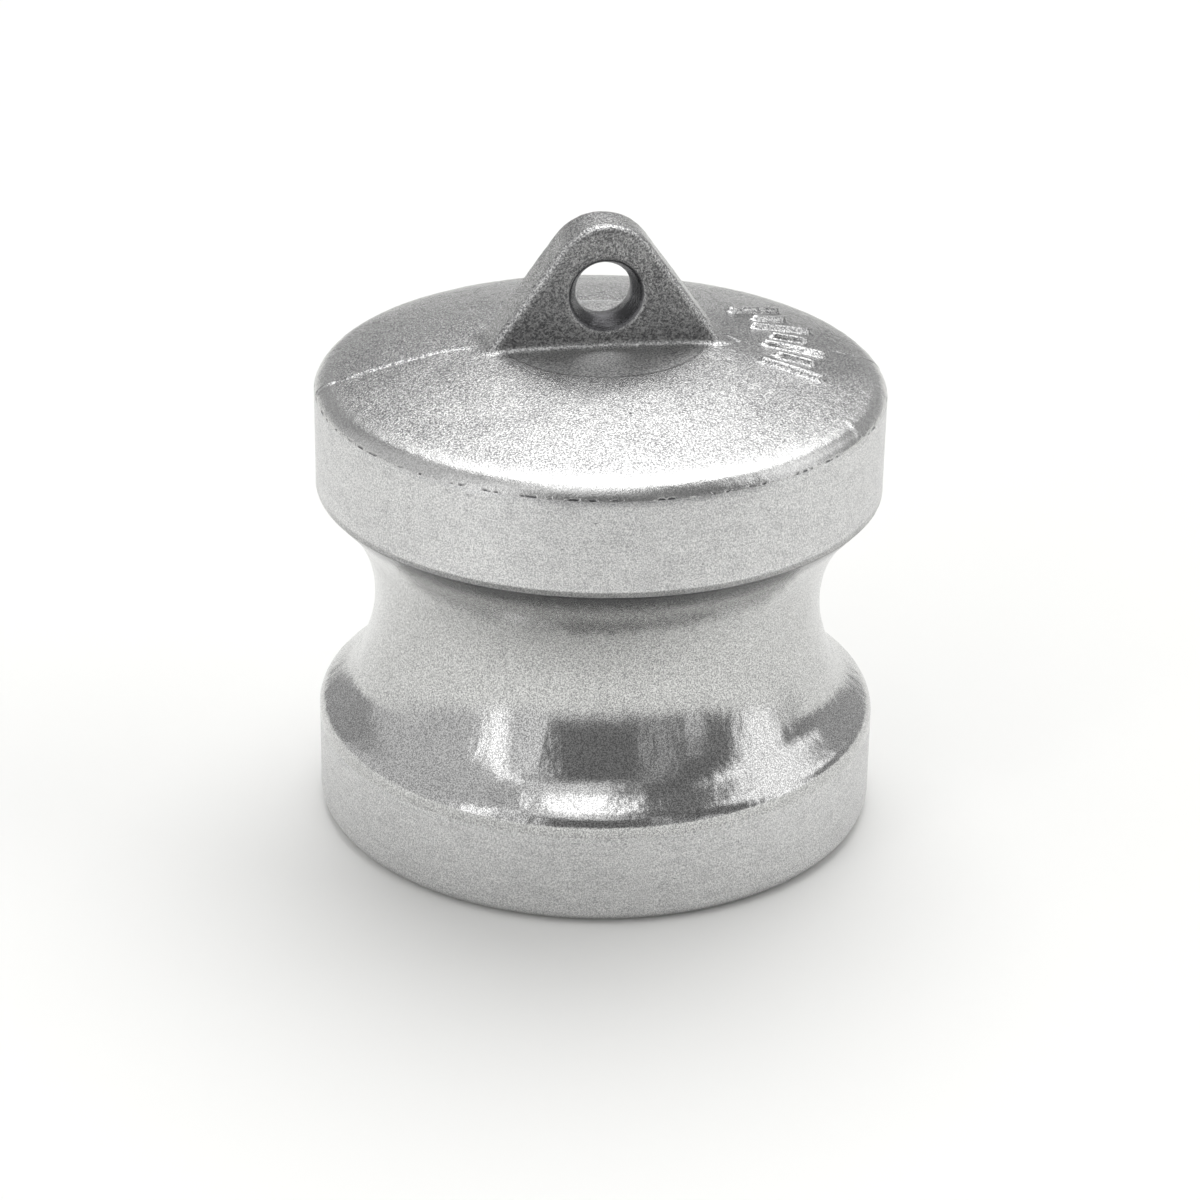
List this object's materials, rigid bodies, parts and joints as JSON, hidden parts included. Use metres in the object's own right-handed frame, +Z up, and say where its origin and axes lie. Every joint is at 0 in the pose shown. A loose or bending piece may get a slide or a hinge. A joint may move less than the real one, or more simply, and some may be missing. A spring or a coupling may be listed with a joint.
{
  "type": "camlock dust plug",
  "caption": "Two-inch dust plug for a cam and groove hose coupling: turned sealing band, cam groove, flange band and domed end with an eye lug, cored hollow from below.",
  "frame": {"origin": "centre of the annular sealing face, which the plug stands on", "axes": "+Z up along the plug's axis, from the sealing face to the lug; X along the lug's width; Y along the lug's hole"},
  "size_m": [0.063, 0.063, 0.0697],
  "materials": {
    "cast_aluminium": "gravity die cast, with the bands and the groove skimmed on a lathe"
  },
  "bodies": {
    "root": {"plug_casting": "cast_aluminium"}
  },
  "joints": []
}
